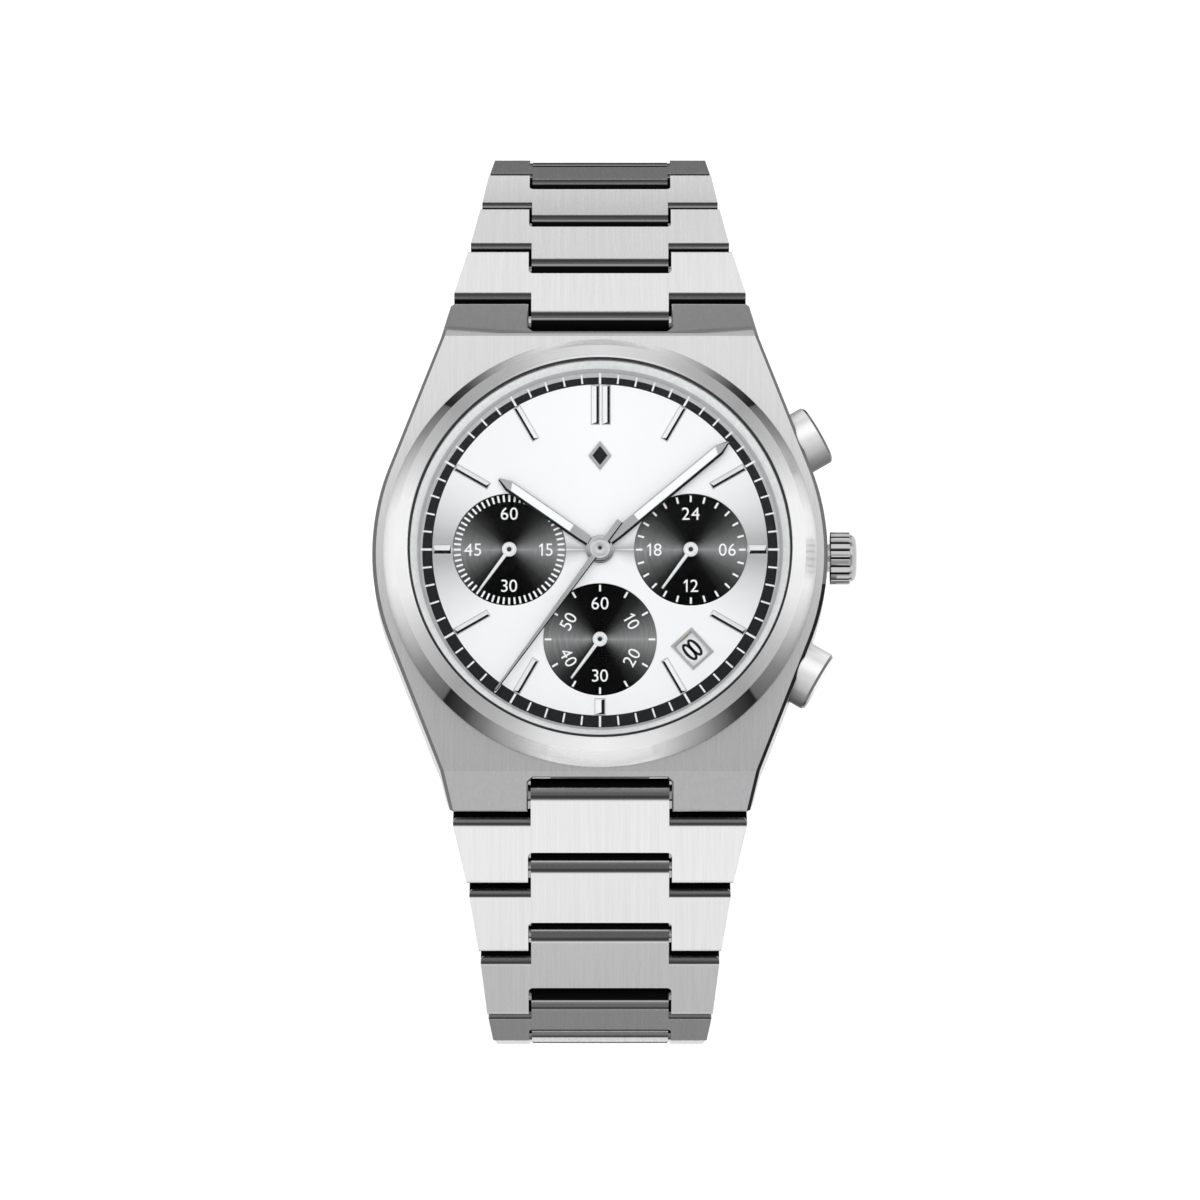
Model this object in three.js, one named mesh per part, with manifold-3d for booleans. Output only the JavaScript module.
// Chronograph wristwatch on a steel bracelet of one-piece links.
//
// Millimetres. +Z is the dial's outward normal, +Y points to 12 o'clock, +X to the crown.
// The closed watch stands dial up on its clasp: z = 0 is the underside of the clasp cover,
// straight below the axis of the hands. Heights in the head are counted from the dial surface.
import * as THREE from 'three';
import { mergeVertices } from 'three/addons/utils/BufferGeometryUtils.js';
import Module from 'manifold-3d';

const wasm = await Module();
wasm.setup();

// ---------------------------------------------------------------- driving dimensions

const DIAL_HEIGHT = 53.8; // dial surface above the underside of the clasp

// case, heights from the dial surface
const CASE_HALF_WIDTH = 20.5;
const CASE_FLANK_RADIUS = 21.8;
const CASE_SHOULDER_X = 14.35;
const CASE_SHOULDER_Y = 19.8;
const CASE_EAR_X = 13.3;
const CASE_EAR_Y = 24;
const CASE_TOP = -1.8;
const CASE_BOTTOM = -8.5;
const CASE_UNDERSIDE_Y = 17.8;
const CASE_BORE = 16.9;
const CASE_BEVEL = 0.36;

// hinge between the case and the first link of each strand
const LUG_HINGE_Y = 21.4;
const LUG_HINGE_Z = -4.55;
const LUG_SLOPE = THREE.MathUtils.degToRad(32);

// bezel, crystal and dial
const BEZEL_INNER = 17.25;
const BEZEL_STEP = 18.45;
const BEZEL_OUTER = 19.5;
const BEZEL_TOP = 1.8;
const CRYSTAL_RADIUS = 17.0;
const CRYSTAL_LOW = 1.15;
const CRYSTAL_HIGH = 2.0;
const DIAL_RADIUS = 16.85;
const DIAL_THICKNESS = 0.4;
const TRACK_INNER = 15.05;
const TRACK_OUTER = 16.15;
const SUBDIAL_OFFSET = 8.15;
const SUBDIAL_RADIUS = 5.1;
const SUBDIAL_DEPTH = 0.08;
const DATE_RADIUS = 12.25;
const DATE_ANGLE = THREE.MathUtils.degToRad(-47.5);
const DATE_WINDOW = 1.75;

// hands: angles are clockwise from 12 o'clock
const HOUR_HAND_ANGLE = 305;
const MINUTE_HAND_ANGLE = 50;
const SECONDS_HAND_ANGLE = 216;

// crown and pushers, heights from the dial surface
const SIDE_AXIS_Z = -4.9;
const CROWN_RADIUS = 2.4;
const CROWN_FLUTES = 20;
const PUSHER_RADIUS = 2.8;
const PUSHER_FACE = 22.75;
const PUSHER_UNDERSIDE = 19.95;
const PUSHER_SEAT = 18.9;
const PUSHER_ANGLE = 30;

// bracelet
const PITCH = 7;
const LINK_THICKNESS = 3;
const EAR_REACH = 1.3;      // ears past the hinge
const SHOULDER = 2.0;       // shoulders start past the near hinge
const NOTCH_BACK = 1.75;    // a link's notch floor behind its far hinge
const LUG_NOTCH_BACK = 2.1; // the lug's notch floor behind its hinge
const NOTCH_HALF = 6.475;
const TONGUE_HALF = 6.225;
const TONGUE_NOSE = 1.25;   // nose of the tongue before the near hinge
const LUG_WIDTH = 27;
const STRAP_WIDTH = 17.5;
const TAPER_LENGTH = 18;
const PIN_RADIUS = 0.6;
const PIN_BORE = 0.8;
const SPRING_BAR_RADIUS = 0.75;
const SPRING_BAR_BORE = 0.95;

// slope of each link below the dial plane, in degrees, from the case to the clasp;
// the tenth link of a strand closes down to the clasp's hinge height
const SLOPES_12 = [37, 45, 52, 66, 80, 101, 124, 145, 162];
const SLOPES_06 = [31, 37, 43, 76, 92, 105, 122, 140, 158];

// clasp, heights from its underside
const CLASP_HINGE_Z = 2.2;
const CLASP_HALF_WIDTH = 8.85;
const CLASP_PLATE = 1.2;
const CLASP_WALL = 0.95;
const CLASP_WALL_TOP = 4.2;
const BLADE_AXIS_Z = 2.35;
const BLADE_THICKNESS = 0.9;

const FINE = 40;
const ROUND = 20;
const SMALL = 12;

// ---------------------------------------------------------------- helpers

function signedVolume(position, index) {
  const a = new THREE.Vector3();
  const b = new THREE.Vector3();
  const c = new THREE.Vector3();
  let volume = 0;
  for (let i = 0; i < index.count; i += 3) {
    a.fromBufferAttribute(position, index.getX(i));
    b.fromBufferAttribute(position, index.getX(i + 1));
    c.fromBufferAttribute(position, index.getX(i + 2));
    volume += a.dot(b.cross(c)) / 6;
  }
  return volume;
}

// a closed geometry as a solid for cutting and joining, its faces turned outward
function solid(geometry) {
  const bare = geometry.clone();
  bare.deleteAttribute('normal');
  bare.deleteAttribute('uv');
  const merged = mergeVertices(bare, 1e-4);
  const triVerts = Uint32Array.from(merged.index.array);
  if (signedVolume(merged.attributes.position, merged.index) < 0) {
    for (let i = 0; i < triVerts.length; i += 3) {
      [triVerts[i], triVerts[i + 1]] = [triVerts[i + 1], triVerts[i]];
    }
  }
  const vertProperties = Float32Array.from(merged.attributes.position.array);
  return new wasm.Manifold(new wasm.Mesh({ numProp: 3, vertProperties, triVerts }));
}

function geometryOf(manifold) {
  const mesh = manifold.getMesh();
  const geometry = new THREE.BufferGeometry();
  geometry.setAttribute('position', new THREE.BufferAttribute(mesh.vertProperties, 3));
  geometry.setIndex(new THREE.BufferAttribute(mesh.triVerts, 1));
  geometry.computeVertexNormals();
  return geometry;
}

function cut(body, tools) {
  return tools.reduce((rest, tool) => rest.subtract(tool), body);
}

function join(first, others) {
  return others.reduce((whole, other) => whole.add(other), first);
}

// a profile of [radius, height] points turned about Z
function turned(profile, segments = FINE) {
  const points = profile.map(([r, z]) => new THREE.Vector2(r, z));
  const geometry = new THREE.LatheGeometry(points, segments);
  geometry.rotateX(Math.PI / 2);
  return solid(geometry);
}

function ring(inner, outer, low, high, segments = FINE) {
  return turned([[inner, low], [outer, low], [outer, high], [inner, high], [inner, low]], segments);
}

function disc(radius, low, high, segments = FINE) {
  return turned([[0, low], [radius, low], [radius, high], [0, high]], segments);
}

// an outline in the XY plane, raised from low to high
function raised(shape, low, high, curveSegments = 10) {
  const geometry = new THREE.ExtrudeGeometry(shape, {
    depth: high - low,
    bevelEnabled: false,
    curveSegments,
  });
  geometry.translate(0, 0, low);
  return solid(geometry);
}

function polygon(points) {
  return new THREE.Shape(points.map(([x, y]) => new THREE.Vector2(x, y)));
}

// a side profile in the YZ plane, carried along X
function along(shape, fromX, toX, curveSegments = 5) {
  const geometry = new THREE.ExtrudeGeometry(shape, {
    depth: toX - fromX,
    bevelEnabled: false,
    curveSegments,
  });
  geometry.translate(0, 0, fromX);
  const yAxis = new THREE.Vector3(0, 1, 0);
  const zAxis = new THREE.Vector3(0, 0, 1);
  const xAxis = new THREE.Vector3(1, 0, 0);
  geometry.applyMatrix4(new THREE.Matrix4().makeBasis(yAxis, zAxis, xAxis));
  return solid(geometry);
}

function block(low, high) {
  const size = [high[0] - low[0], high[1] - low[1], high[2] - low[2]];
  const geometry = new THREE.BoxGeometry(...size);
  geometry.translate(low[0] + size[0] / 2, low[1] + size[1] / 2, low[2] + size[2] / 2);
  return solid(geometry);
}

// a round bar along X at a given y and z
function barX(radius, fromX, toX, y, z, segments = SMALL) {
  const geometry = new THREE.CylinderGeometry(radius, radius, toX - fromX, segments);
  geometry.rotateZ(-Math.PI / 2);
  geometry.translate((fromX + toX) / 2, y, z);
  return solid(geometry);
}

// a profile of [radius, distance] points turned about X
function steppedX(profile, segments = ROUND) {
  const points = profile.map(([r, x]) => new THREE.Vector2(r, x));
  const geometry = new THREE.LatheGeometry(points, segments);
  geometry.rotateZ(-Math.PI / 2);
  return solid(geometry);
}

const STEEL = { color: 0xc4c5c8, roughness: 0.32, metalness: 1 };
const BRUSHED = { color: 0xb4b5b8, roughness: 0.42, metalness: 1 };
const BLACK = { color: 0x141416, roughness: 0.5, metalness: 0.1 };
const BRASS = { color: 0xb59a5c, roughness: 0.4, metalness: 1 };
const GREEN = { color: 0x1f4f33, roughness: 0.5, metalness: 0.1 };
const COPPER = { color: 0xb4693c, roughness: 0.4, metalness: 1 };
const NYLON = { color: 0xd8d6cd, roughness: 0.6, metalness: 0 };
const SILVERED = { color: 0xeceded, roughness: 0.45, metalness: 0.3 };
const CLEAR = { color: 0xf4f8fa, roughness: 0.03, metalness: 0, transparent: true, opacity: 0.2 };

function part(name, shape, finish) {
  const geometry = shape.isBufferGeometry ? shape : geometryOf(shape);
  const mesh = new THREE.Mesh(geometry, new THREE.MeshStandardMaterial(finish));
  mesh.name = name;
  return mesh;
}

// ---------------------------------------------------------------- case

// a point of the lug, measured from its hinge along the lug's slope and square to it
function lugPoint(alongSlope, outward) {
  const y = LUG_HINGE_Y + alongSlope * Math.cos(LUG_SLOPE) + outward * Math.sin(LUG_SLOPE);
  const z = LUG_HINGE_Z - alongSlope * Math.sin(LUG_SLOPE) + outward * Math.cos(LUG_SLOPE);
  return [y, z];
}

function caseOutline() {
  const centre = CASE_HALF_WIDTH - CASE_FLANK_RADIUS;
  const across = CASE_SHOULDER_X - centre;
  const reach = Math.hypot(across, CASE_SHOULDER_Y);
  const sweep = Math.atan2(CASE_SHOULDER_Y, across) - Math.acos(CASE_FLANK_RADIUS / reach);
  const shape = new THREE.Shape();
  shape.moveTo(CASE_EAR_X, -CASE_EAR_Y);
  shape.lineTo(CASE_SHOULDER_X, -CASE_SHOULDER_Y);
  shape.absarc(centre, 0, CASE_FLANK_RADIUS, -sweep, sweep, false);
  shape.lineTo(CASE_SHOULDER_X, CASE_SHOULDER_Y);
  shape.lineTo(CASE_EAR_X, CASE_EAR_Y);
  shape.lineTo(-CASE_EAR_X, CASE_EAR_Y);
  shape.lineTo(-CASE_SHOULDER_X, CASE_SHOULDER_Y);
  shape.absarc(-centre, 0, CASE_FLANK_RADIUS, Math.PI - sweep, Math.PI + sweep, false);
  shape.lineTo(-CASE_SHOULDER_X, -CASE_SHOULDER_Y);
  shape.lineTo(-CASE_EAR_X, -CASE_EAR_Y);
  return shape;
}

function caseSideProfile() {
  const half = LINK_THICKNESS / 2;
  const slopeStart = (LUG_HINGE_Z + half * Math.cos(LUG_SLOPE) - CASE_TOP) / Math.sin(LUG_SLOPE);
  const right = [
    [CASE_UNDERSIDE_Y, CASE_BOTTOM],
    lugPoint(EAR_REACH - 0.4, -half),
    lugPoint(EAR_REACH, -half + 0.4),
    lugPoint(EAR_REACH, half - 0.25),
    lugPoint(EAR_REACH - 0.25, half),
    lugPoint(slopeStart, half),
  ];
  const left = right.map(([y, z]) => [-y, z]).reverse();
  return polygon([...right, ...left]);
}

// the space that the first link's tongue turns in, between the lug's two ears
function lugNotch(side) {
  const below = -2.6;
  const above = 6;
  const corners = [
    lugPoint(-LUG_NOTCH_BACK, below),
    lugPoint(6, below),
    lugPoint(6, above),
    lugPoint(-LUG_NOTCH_BACK, above),
  ];
  return along(polygon(corners.map(([y, z]) => [side * y, z])), -NOTCH_HALF, NOTCH_HALF);
}

// a round bar on the case's side axes: from one distance from the centre to another
function radialBar(radius, from, to, angle, segments = ROUND) {
  const geometry = new THREE.CylinderGeometry(radius, radius, to - from, segments);
  geometry.rotateZ(-Math.PI / 2);
  geometry.translate((from + to) / 2, 0, SIDE_AXIS_Z);
  geometry.rotateZ(THREE.MathUtils.degToRad(angle));
  return solid(geometry);
}

function caseBody() {
  const plan = new THREE.ExtrudeGeometry(caseOutline(), {
    depth: CASE_TOP - CASE_BOTTOM - 2 * CASE_BEVEL,
    bevelEnabled: true,
    bevelThickness: CASE_BEVEL,
    bevelSize: CASE_BEVEL,
    bevelOffset: -CASE_BEVEL,
    bevelSegments: 1,
    curveSegments: 8,
  });
  plan.translate(0, 0, CASE_BOTTOM + CASE_BEVEL);
  const slab = along(caseSideProfile(), -CASE_HALF_WIDTH - 1, CASE_HALF_WIDTH + 1);
  const body = solid(plan).intersect(slab);
  const barEnd = NOTCH_HALF + 3.2;
  const tools = [
    disc(CASE_BORE, CASE_BOTTOM - 1, CASE_TOP + 1),
    lugNotch(1),
    lugNotch(-1),
    barX(0.8, -barEnd, barEnd, LUG_HINGE_Y, LUG_HINGE_Z),
    barX(0.8, -barEnd, barEnd, -LUG_HINGE_Y, LUG_HINGE_Z),
    radialBar(1.35, 14, 24, 0),
  ];
  for (const angle of [PUSHER_ANGLE, -PUSHER_ANGLE]) {
    tools.push(radialBar(1.35, 14, 24, angle));
    tools.push(radialBar(PUSHER_RADIUS + 0.15, PUSHER_SEAT, 26, angle));
  }
  return part('case_body', cut(body, tools), BRUSHED);
}

function bezel() {
  const shape = turned([
    [BEZEL_INNER - 0.15, CASE_TOP],
    [BEZEL_OUTER, CASE_TOP],
    [BEZEL_OUTER, CASE_TOP + 0.4],
    [BEZEL_STEP, 1.2],
    [BEZEL_INNER + 0.1, BEZEL_TOP],
    [BEZEL_INNER, BEZEL_TOP - 0.05],
    [BEZEL_INNER, CRYSTAL_LOW - 0.05],
    [BEZEL_INNER - 0.15, CRYSTAL_LOW - 0.05],
    [BEZEL_INNER - 0.15, CASE_TOP],
  ]);
  return part('bezel', shape, STEEL);
}

function crystal() {
  const bevel = 0.2;
  const shape = turned([
    [0, CRYSTAL_LOW],
    [CRYSTAL_RADIUS, CRYSTAL_LOW],
    [CRYSTAL_RADIUS, CRYSTAL_HIGH - bevel],
    [CRYSTAL_RADIUS - bevel, CRYSTAL_HIGH],
    [0, CRYSTAL_HIGH],
  ]);
  return part('crystal', shape, CLEAR);
}

function crystalGasket() {
  const shape = ring(CRYSTAL_RADIUS + 0.04, BEZEL_INNER - 0.04, CRYSTAL_LOW, BEZEL_TOP - 0.1);
  return part('crystal_gasket', shape, BLACK);
}

// the sloping metal ring between the dial's edge and the crystal
function flangeRing() {
  const shape = turned([
    [TRACK_OUTER, 0.02],
    [DIAL_RADIUS + 0.2, 0.02],
    [DIAL_RADIUS + 0.2, CRYSTAL_LOW - 0.05],
    [DIAL_RADIUS, CRYSTAL_LOW - 0.05],
    [TRACK_OUTER, 0.02],
  ]);
  return part('flange_ring', shape, STEEL);
}

function caseBack() {
  const rim = 17.6;
  const low = -9.9;
  const body = turned([
    [0, low],
    [16.2, low],
    [rim, low + 0.7],
    [rim, CASE_BOTTOM - 0.02],
    [16.5, CASE_BOTTOM - 0.02],
    [16.5, -7.5],
    [15.9, -7.5],
    [15.9, -8.9],
    [0, -8.9],
  ]);
  const notches = [];
  for (let i = 0; i < 6; i += 1) {
    const geometry = new THREE.BoxGeometry(2.4, 1.8, 1);
    geometry.translate(0, 16.2, low);
    geometry.rotateZ((i * Math.PI) / 3);
    notches.push(solid(geometry));
  }
  return part('case_back', cut(body, notches), BRUSHED);
}

function caseBackGasket() {
  return part('case_back_gasket', ring(16.55, 16.85, -8.3, -7.7), BLACK);
}

// ---------------------------------------------------------------- dial and date

function subdialCentres() {
  return {
    running: [-SUBDIAL_OFFSET, 0],
    day24: [SUBDIAL_OFFSET, 0],
    minutes: [0, -SUBDIAL_OFFSET],
  };
}

function datePlace() {
  return [DATE_RADIUS * Math.cos(DATE_ANGLE), DATE_RADIUS * Math.sin(DATE_ANGLE)];
}

// a raised bar on the dial, pointing at the centre
function indexBar(hour, width, inner, sideways = 0) {
  const length = TRACK_INNER - inner;
  const geometry = new THREE.BoxGeometry(width, length, 0.3);
  geometry.translate(sideways, inner + length / 2, 0.07);
  geometry.rotateZ(THREE.MathUtils.degToRad(-30 * hour));
  return solid(geometry);
}

function dial() {
  let body = disc(DIAL_RADIUS, -DIAL_THICKNESS, 0);
  const holes = [disc(1.1, -1, 1, SMALL)];
  for (const [x, y] of Object.values(subdialCentres())) {
    const recess = disc(SUBDIAL_RADIUS, -SUBDIAL_DEPTH, 1, 28).translate(x, y, 0);
    holes.push(recess);
    holes.push(disc(0.35, -1, 1, SMALL).translate(x, y, 0));
  }
  const window = new THREE.BoxGeometry(DATE_WINDOW, DATE_WINDOW, 3);
  window.rotateZ(Math.PI / 4);
  window.translate(...datePlace(), 0);
  holes.push(solid(window));
  body = cut(body, holes);
  const bars = [indexBar(0, 0.95, 11.35, -0.62), indexBar(0, 0.95, 11.35, 0.62)];
  for (const hour of [1, 2, 4, 5, 7, 8, 10, 11]) {
    bars.push(indexBar(hour, 0.68, 11.5));
  }
  bars.push(indexBar(3, 0.95, 13.6));
  bars.push(indexBar(9, 0.95, 13.6));
  bars.push(indexBar(6, 1.0, 13.5));
  return part('dial', join(body, bars), SILVERED);
}

function dateDisc() {
  return part('date_disc', ring(11.3, 13.4, -0.85, -0.6, 28), NYLON);
}

// ---------------------------------------------------------------- movement

function movementRing() {
  const tools = [radialBar(0.85, 12, 20, 0, SMALL)];
  for (const angle of [PUSHER_ANGLE, -PUSHER_ANGLE]) {
    tools.push(radialBar(1.5, 12, 20, angle, SMALL));
  }
  return part('movement_ring', cut(ring(15.15, 16.75, -7.3, -0.45), tools), NYLON);
}

function movementPlate() {
  const body = turned([
    [0, -2.9],
    [15, -2.9],
    [15, -0.45],
    [13.6, -0.45],
    [13.6, -1.0],
    [11.1, -1.0],
    [11.1, -0.45],
    [0, -0.45],
  ], 32);
  const holes = [disc(1.1, -4, 1, SMALL)];
  for (const [x, y] of Object.values(subdialCentres())) {
    holes.push(disc(0.35, -4, 1, SMALL).translate(x, y, 0));
  }
  return part('movement_plate', cut(body, holes), BRASS);
}

const BATTERY_PLACE = [-6.2, -5.6];
const BATTERY_RADIUS = 4.75;
const COIL_PLACE = [-3.5, 8.5];

function circuitBoard() {
  const body = disc(14.6, -3.3, -3.0, 32);
  const battery = disc(BATTERY_RADIUS + 0.3, -4, -2, ROUND).translate(...BATTERY_PLACE, 0);
  const [coilX, coilY] = COIL_PLACE;
  const slot = block([coilX - 5.4, coilY - 1.8, -4], [coilX + 5.4, coilY + 1.8, -2]);
  return part('circuit_board', cut(body, [battery, slot, disc(1.1, -4, -2, SMALL)]), GREEN);
}

function motorCoil() {
  const [x, y] = COIL_PLACE;
  const core = barX(1.2, x - 4.2, x + 4.2, y, -4.4, ROUND);
  const cheekLow = block([x - 4.8, y - 1.5, -5.8], [x - 4.1, y + 1.5, -3.2]);
  const cheekHigh = block([x + 4.1, y - 1.5, -5.8], [x + 4.8, y + 1.5, -3.2]);
  return part('motor_coil', join(core, [cheekLow, cheekHigh]), COPPER);
}

function battery() {
  const body = turned([
    [0, -6.1],
    [BATTERY_RADIUS - 0.3, -6.1],
    [BATTERY_RADIUS, -5.8],
    [BATTERY_RADIUS, -3.6],
    [BATTERY_RADIUS - 0.8, -3.6],
    [BATTERY_RADIUS - 0.8, -3.35],
    [0, -3.35],
  ], 24);
  return part('battery', body.translate(...BATTERY_PLACE, 0), STEEL);
}

function batteryClamp() {
  const [x, y] = BATTERY_PLACE;
  const strap = block([x - 1.2, y - 6.4, -6.5], [x + 1.2, y + 6.4, -6.25]);
  const foot = block([x - 1.2, y + 5.5, -6.4], [x + 1.2, y + 6.4, -3.35]);
  const heel = block([x - 1.2, y - 6.4, -6.4], [x + 1.2, y - 5.5, -3.35]);
  return part('battery_clamp', join(strap, [foot, heel]), STEEL);
}

// ---------------------------------------------------------------- hands

// a hand of half outline rows [half width, distance from its axis], with its hub and pipe
function handSolid({ outline, hub, low, high, pipe, pipeBore, pipeLow }) {
  const right = outline.map(([half, reach]) => [half, reach]);
  const left = outline.map(([half, reach]) => [-half, reach]).reverse();
  const blade = raised(polygon([...right, ...left]), low, high);
  let body = join(blade, [disc(hub, low, high, ROUND), disc(pipe, pipeLow, high, SMALL)]);
  if (pipeBore > 0) {
    body = body.subtract(disc(pipeBore, pipeLow - 1, high + 1, SMALL));
  }
  return body;
}

function placedHand(name, spec, clockwise, centre, finish) {
  const turn = -THREE.MathUtils.degToRad(clockwise);
  const mesh = part(name, handSolid(spec), finish);
  mesh.rotation.z = turn;
  mesh.position.set(centre[0], centre[1], 0);
  return mesh;
}

function hands() {
  const hour = {
    outline: [[0.5, 0], [0.5, 10.2], [0.12, 11.1]],
    hub: 1.3, low: 0.32, high: 0.46, pipe: 0.92, pipeBore: 0.7, pipeLow: -0.95,
  };
  const minute = {
    outline: [[0.5, 0], [0.5, 14.0], [0.12, 15.1]],
    hub: 1.15, low: 0.56, high: 0.7, pipe: 0.58, pipeBore: 0.38, pipeLow: -1.4,
  };
  const chronoSeconds = {
    outline: [[0.3, -3.1], [0.3, 0], [0.12, 16.0]],
    hub: 0.92, low: 0.8, high: 0.92, pipe: 0.26, pipeBore: 0, pipeLow: -1.8,
  };
  const small = {
    outline: [[0.18, 0], [0.12, 4.4]],
    hub: 0.65, low: 0.04, high: 0.18, pipe: 0.2, pipeBore: 0, pipeLow: -1.4,
  };
  const places = subdialCentres();
  const middle = [0, 0];
  return [
    placedHand('hour_hand', hour, HOUR_HAND_ANGLE, middle, STEEL),
    placedHand('minute_hand', minute, MINUTE_HAND_ANGLE, middle, STEEL),
    placedHand('chrono_seconds_hand', chronoSeconds, SECONDS_HAND_ANGLE, middle, STEEL),
    placedHand('running_seconds_hand', small, SECONDS_HAND_ANGLE, places.running, SILVERED),
    placedHand('hand_24h', small, SECONDS_HAND_ANGLE, places.day24, SILVERED),
    placedHand('chrono_minutes_hand', small, SECONDS_HAND_ANGLE, places.minutes, SILVERED),
  ];
}

// ---------------------------------------------------------------- crown, stem and pushers

// a solid built along +X about the X axis, set on the side axes of the case at an angle
function onSideAxis(name, shape, angle, finish) {
  const mesh = part(name, shape, finish);
  mesh.rotation.z = THREE.MathUtils.degToRad(angle);
  mesh.position.z = SIDE_AXIS_Z;
  return mesh;
}

function crown() {
  const star = new THREE.Shape();
  const corners = CROWN_FLUTES * 2;
  for (let i = 0; i < corners; i += 1) {
    const radius = i % 2 === 0 ? CROWN_RADIUS : CROWN_RADIUS - 0.18;
    const angle = (i / corners) * 2 * Math.PI;
    const x = radius * Math.cos(angle);
    const y = radius * Math.sin(angle);
    if (i === 0) star.moveTo(x, y);
    else star.lineTo(x, y);
  }
  const grip = along(star, 20.75, 22.6);
  const cap = steppedX([[0, 22.5], [2.15, 22.5], [2.15, 22.7], [1.85, 23.15], [0, 23.15]]);
  const cup = steppedX([[0, 20], [1.6, 20], [1.6, 22], [0.58, 22], [0.58, 22.75], [0, 22.75]]);
  return onSideAxis('crown', grip.add(cap).subtract(cup), 0, STEEL);
}

function stem() {
  const shape = steppedX([
    [0, 9.5],
    [0.5, 9.5],
    [0.5, 12.1],
    [0.28, 12.1],
    [0.28, 12.9],
    [0.5, 12.9],
    [0.5, 22.6],
    [0, 22.6],
  ], SMALL);
  return onSideAxis('stem', shape, 0, STEEL);
}

// the forked plate in the stem's groove, which moves with the stem as the crown is pulled
function settingLever() {
  const fork = block([12.3, -0.95, -1.1], [12.7, 3.4, 1.1]);
  const slot = block([12, -2, -0.4], [13, 0.4, 0.4]);
  return onSideAxis('setting_lever', fork.subtract(slot), 0, STEEL);
}

function tubeX(inner, outer, from, to) {
  return steppedX([
    [inner, from],
    [outer, from],
    [outer, to],
    [inner, to],
    [inner, from],
  ], 16);
}

function crownTube() {
  return onSideAxis('crown_tube', tubeX(0.7, 1.28, 17.2, 21.6), 0, STEEL);
}

function pusher(name, angle) {
  const edge = 0.25;
  const shape = steppedX([
    [0, 16.0],
    [0.75, 16.0],
    [0.75, 16.4],
    [1.15, 16.4],
    [1.15, 16.7],
    [0.75, 16.7],
    [0.75, PUSHER_UNDERSIDE],
    [PUSHER_RADIUS, PUSHER_UNDERSIDE],
    [PUSHER_RADIUS, PUSHER_FACE - edge],
    [PUSHER_RADIUS - edge, PUSHER_FACE],
    [0, PUSHER_FACE],
  ]);
  return onSideAxis(name, shape, angle, STEEL);
}

// the coil under a pusher's head, as one closed spiral wire
function pusherSpring(name, angle) {
  class Helix extends THREE.Curve {
    getPoint(t) {
      const turn = t * 2 * Math.PI * 2.5;
      const x = PUSHER_SEAT + 0.17 + t * (PUSHER_UNDERSIDE - PUSHER_SEAT - 0.34);
      return new THREE.Vector3(x, 1.75 * Math.cos(turn), 1.75 * Math.sin(turn));
    }
  }
  const wire = new THREE.Shape();
  wire.absarc(0, 0, 0.12, 0, 2 * Math.PI, false);
  const geometry = new THREE.ExtrudeGeometry(wire, {
    steps: 24,
    curveSegments: 3,
    bevelEnabled: false,
    extrudePath: new Helix(),
  });
  return onSideAxis(name, solid(geometry), angle, STEEL);
}

function sideControls() {
  const pieces = [crownTube(), crown(), stem(), settingLever()];
  for (const [hour, angle] of [['2', PUSHER_ANGLE], ['4', -PUSHER_ANGLE]]) {
    pieces.push(onSideAxis(`pusher_tube_${hour}`, tubeX(0.95, 1.28, 17.1, 18.85), angle, STEEL));
    pieces.push(pusher(`pusher_${hour}`, angle));
    pieces.push(pusherSpring(`pusher_spring_${hour}`, angle));
  }
  return pieces;
}

function springBar(name, side) {
  const end = NOTCH_HALF + 3;
  const shape = barX(SPRING_BAR_RADIUS, -end, end, side * LUG_HINGE_Y, LUG_HINGE_Z);
  return part(name, shape, STEEL);
}

function watchHead() {
  const head = new THREE.Group();
  head.position.z = DIAL_HEIGHT;
  head.add(caseBody(), bezel(), crystal(), crystalGasket(), flangeRing());
  head.add(caseBack(), caseBackGasket(), dial(), dateDisc());
  head.add(movementRing(), movementPlate(), circuitBoard(), motorCoil(), battery(), batteryClamp());
  head.add(...hands(), ...sideControls());
  head.add(springBar('spring_bar_12', 1), springBar('spring_bar_06', -1));
  return head;
}

// ---------------------------------------------------------------- bracelet

function strandWidth(distance) {
  return STRAP_WIDTH + (LUG_WIDTH - STRAP_WIDTH) * Math.exp(-distance / TAPER_LENGTH);
}

// hinge points [y, z] from the case to the clasp, and the slope of each link between them
function strandPath(slopes) {
  const points = [[LUG_HINGE_Y, DIAL_HEIGHT + LUG_HINGE_Z]];
  const angles = slopes.map(THREE.MathUtils.degToRad);
  for (const angle of angles) {
    const [y, z] = points[points.length - 1];
    points.push([y + PITCH * Math.cos(angle), z - PITCH * Math.sin(angle)]);
  }
  const [y, z] = points[points.length - 1];
  const last = Math.PI - Math.asin((z - CLASP_HINGE_Z) / PITCH);
  angles.push(last);
  points.push([y + PITCH * Math.cos(last), CLASP_HINGE_Z]);
  return { points, angles };
}

// side profile of the shoulders and ears, [along, outward]
function shoulderProfile() {
  const half = LINK_THICKNESS / 2;
  const end = PITCH + EAR_REACH;
  return polygon([
    [SHOULDER, -0.9],
    [SHOULDER + 0.6, -half],
    [end - 0.4, -half],
    [end, -half + 0.4],
    [end, half - 0.25],
    [end - 0.25, half],
    [SHOULDER + 0.6, half],
    [SHOULDER, 0.8],
  ]);
}

// side profile of the tongue, with its round nose about the near hinge
function tongueProfile(back) {
  const half = LINK_THICKNESS / 2;
  const shape = new THREE.Shape();
  shape.moveTo(back, -half);
  shape.lineTo(back, half);
  shape.lineTo(half - TONGUE_NOSE, half);
  shape.absarc(half - TONGUE_NOSE, 0, half, Math.PI / 2, (3 * Math.PI) / 2, false);
  return shape;
}

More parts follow.
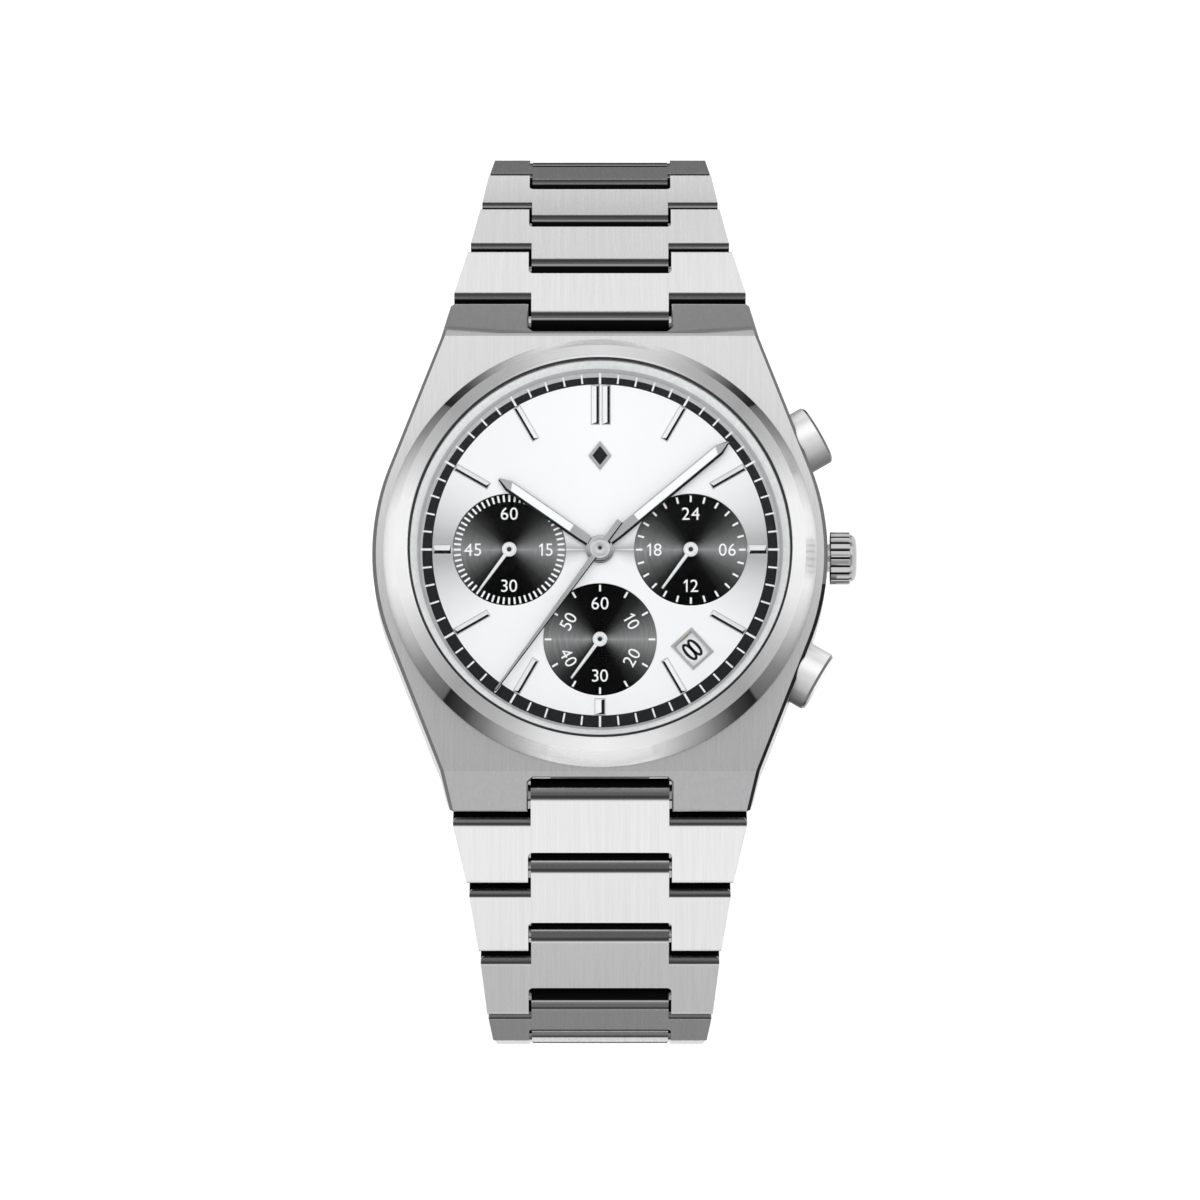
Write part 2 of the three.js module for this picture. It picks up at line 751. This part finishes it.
function linkSolid(number, nearBore, pinned) {
  const near = strandWidth((number - 1) * PITCH + SHOULDER - EAR_REACH) / 2;
  const far = strandWidth(number * PITCH) / 2;
  const end = PITCH + EAR_REACH;
  const notch = PITCH - NOTCH_BACK;
  const plan = polygon([
    [-near, SHOULDER],
    [near, SHOULDER],
    [far, end],
    [NOTCH_HALF, end],
    [NOTCH_HALF, notch],
    [-NOTCH_HALF, notch],
    [-NOTCH_HALF, end],
    [-far, end],
  ]);
  const outers = raised(plan, -3, 3).intersect(along(shoulderProfile(), -15, 15));
  const tongue = along(tongueProfile(SHOULDER + 1), -TONGUE_HALF, TONGUE_HALF);
  const bore = barX(nearBore, -15, 15, 0, 0);
  const deep = NOTCH_HALF + 1;
  const farBar = barX(pinned ? PIN_RADIUS : PIN_BORE, -deep, deep, PITCH, 0);
  const body = outers.add(tongue).subtract(bore);
  return pinned ? body.add(farBar) : body.subtract(farBar);
}

function strand(code, slopes, lastPinned) {
  const group = new THREE.Group();
  if (code === '06') group.rotation.z = Math.PI;
  const { points, angles } = strandPath(slopes);
  angles.forEach((angle, i) => {
    const number = i + 1;
    const bore = number === 1 ? SPRING_BAR_BORE : PIN_BORE;
    const pinned = number < angles.length || lastPinned;
    const name = `link_${code}_${String(number).padStart(2, '0')}`;
    const mesh = part(name, linkSolid(number, bore, pinned), BRUSHED);
    mesh.position.set(0, points[i][0], points[i][1]);
    mesh.rotation.x = -angle;
    group.add(mesh);
  });
  return group;
}

// ---------------------------------------------------------------- folding clasp

const CLASP_12 = strandPath(SLOPES_12).points.at(-1)[0];
const CLASP_06 = -strandPath(SLOPES_06).points.at(-1)[0];
const COVER_START = CLASP_06 + EAR_REACH + 0.35;
const COVER_END = CLASP_12 - SHOULDER;
const PLATE_START = CLASP_06 + 4.75;
const BLADE_PIVOT_06 = CLASP_06 + 3.15;
const BLADE_PIVOT_12 = COVER_END - 4.6;
const RAIL_INNER = 5.0;
const RAIL_OUTER = 7.6;
const BLADE_HALF = 4.7;
const BUTTON_Y = 3.0;

function claspCover() {
  const plate = block([-CLASP_HALF_WIDTH, PLATE_START, 0], [CLASP_HALF_WIDTH, COVER_END, CLASP_PLATE]);
  const endBlock = along(polygon([
    [COVER_END - 2.2, 0],
    [COVER_END - 0.4, 0],
    [COVER_END, 0.4],
    [COVER_END, 3.4],
    [COVER_END - 0.4, 3.8],
    [COVER_END - 2.2, 3.8],
  ]), -CLASP_HALF_WIDTH, CLASP_HALF_WIDTH);
  const half = LINK_THICKNESS / 2;
  const tongueShape = new THREE.Shape();
  tongueShape.moveTo(COVER_END - 1, CLASP_HINGE_Z + half);
  tongueShape.lineTo(COVER_END - 1, CLASP_HINGE_Z - half);
  tongueShape.lineTo(CLASP_12 + TONGUE_NOSE - half, CLASP_HINGE_Z - half);
  tongueShape.absarc(CLASP_12 + TONGUE_NOSE - half, CLASP_HINGE_Z, half, -Math.PI / 2, Math.PI / 2, false);
  const tongue = along(tongueShape, -TONGUE_HALF, TONGUE_HALF);
  const walls = [-1, 1].map((side) => {
    const profile = polygon([
      [COVER_START, 0],
      [COVER_END - 1, 0],
      [COVER_END - 1, CLASP_WALL_TOP - 0.4],
      [COVER_END - 2.2, CLASP_WALL_TOP],
      [COVER_START + 0.8, CLASP_WALL_TOP],
      [COVER_START, CLASP_WALL_TOP - 0.8],
    ]);
    const outer = side * CLASP_HALF_WIDTH;
    const inner = side * (CLASP_HALF_WIDTH - CLASP_WALL);
    return along(profile, Math.min(outer, inner), Math.max(outer, inner));
  });
  const hingePins = [-1, 1].map((side) => {
    const x = [side * (RAIL_INNER + 0.2), side * (CLASP_HALF_WIDTH - 0.4)].sort((a, b) => a - b);
    return barX(0.5, x[0], x[1], BLADE_PIVOT_06, BLADE_AXIS_Z);
  });
  const buttonHoles = [-1, 1].map((side) => {
    const x = [side * 7, side * 10].sort((a, b) => a - b);
    return block([x[0], BUTTON_Y - 1.45, 1.5], [x[1], BUTTON_Y + 1.45, 3.3]);
  });
  const bore = barX(PIN_BORE, -15, 15, CLASP_12, CLASP_HINGE_Z);
  const whole = join(plate, [endBlock, tongue, ...walls, ...hingePins]);
  return part('clasp_cover', cut(whole, [bore, ...buttonHoles]), BRUSHED);
}

// two rails hinged to the cover, joined at their far end by the crossbar that holds blade b
function claspBladeA() {
  const low = BLADE_AXIS_Z - BLADE_THICKNESS / 2;
  const high = BLADE_AXIS_Z + BLADE_THICKNESS / 2;
  const pieces = [-1, 1].map((side) => {
    const inner = Math.min(side * RAIL_INNER, side * RAIL_OUTER);
    const outer = Math.max(side * RAIL_INNER, side * RAIL_OUTER);
    const rail = block([inner, BLADE_PIVOT_06, low], [outer, BLADE_PIVOT_12 + 1.5, high]);
    return rail.add(barX(0.92, inner, outer, BLADE_PIVOT_06, BLADE_AXIS_Z, ROUND));
  });
  const barY = BLADE_PIVOT_12 + 1.35;
  const crossbar = block([-RAIL_OUTER, barY, low], [RAIL_OUTER, barY + 0.85, high]);
  const pin = barX(0.5, -RAIL_INNER - 0.5, RAIL_INNER + 0.5, BLADE_PIVOT_12, BLADE_AXIS_Z);
  const catches = [-1, 1].map((side) => {
    const x = [side * 7.0, side * 8].sort((a, b) => a - b);
    return block([x[0], BUTTON_Y - 1.8, 0], [x[1], BUTTON_Y + 1.8, 5]);
  });
  const bore = barX(0.65, -9, 9, BLADE_PIVOT_06, BLADE_AXIS_Z);
  const whole = join(pieces[0], [pieces[1], crossbar, pin]);
  return part('clasp_blade_a', cut(whole, [bore, ...catches]), STEEL);
}

// the centre strip, from blade a's crossbar to the spring bar in the last link of the 6 strand
function claspBladeB() {
  const low = BLADE_AXIS_Z - BLADE_THICKNESS / 2;
  const high = BLADE_AXIS_Z + BLADE_THICKNESS / 2;
  const strip = block([-BLADE_HALF, CLASP_06, low], [BLADE_HALF, BLADE_PIVOT_12, high]);
  const barrel12 = barX(0.92, -BLADE_HALF, BLADE_HALF, BLADE_PIVOT_12, BLADE_AXIS_Z, ROUND);
  const barrel06 = barX(1.15, -BLADE_HALF, BLADE_HALF, CLASP_06, CLASP_HINGE_Z, ROUND);
  const bores = [
    barX(0.65, -9, 9, BLADE_PIVOT_12, BLADE_AXIS_Z),
    barX(0.68, -9, 9, CLASP_06, CLASP_HINGE_Z),
  ];
  return part('clasp_blade_b', cut(join(strip, [barrel12, barrel06]), bores), STEEL);
}

function claspButton(name, side) {
  const inner = side * (RAIL_OUTER + 0.35);
  const outer = side * (CLASP_HALF_WIDTH + 0.75);
  const low = [Math.min(inner, outer), BUTTON_Y - 1.3, 1.65];
  const high = [Math.max(inner, outer), BUTTON_Y + 1.3, 3.15];
  return part(name, block(low, high), STEEL);
}

function clasp() {
  const group = new THREE.Group();
  const bar = barX(0.55, -NOTCH_HALF + 0.3, NOTCH_HALF - 0.3, CLASP_06, CLASP_HINGE_Z);
  group.add(claspCover(), claspBladeA(), claspBladeB());
  group.add(claspButton('clasp_button_left', -1), claspButton('clasp_button_right', 1));
  group.add(part('clasp_spring_bar', bar, STEEL));
  return group;
}

// ---------------------------------------------------------------- whole watch

const watch = new THREE.Group();
watch.add(watchHead(), strand('12', SLOPES_12, true), strand('06', SLOPES_06, false), clasp());

export default watch;
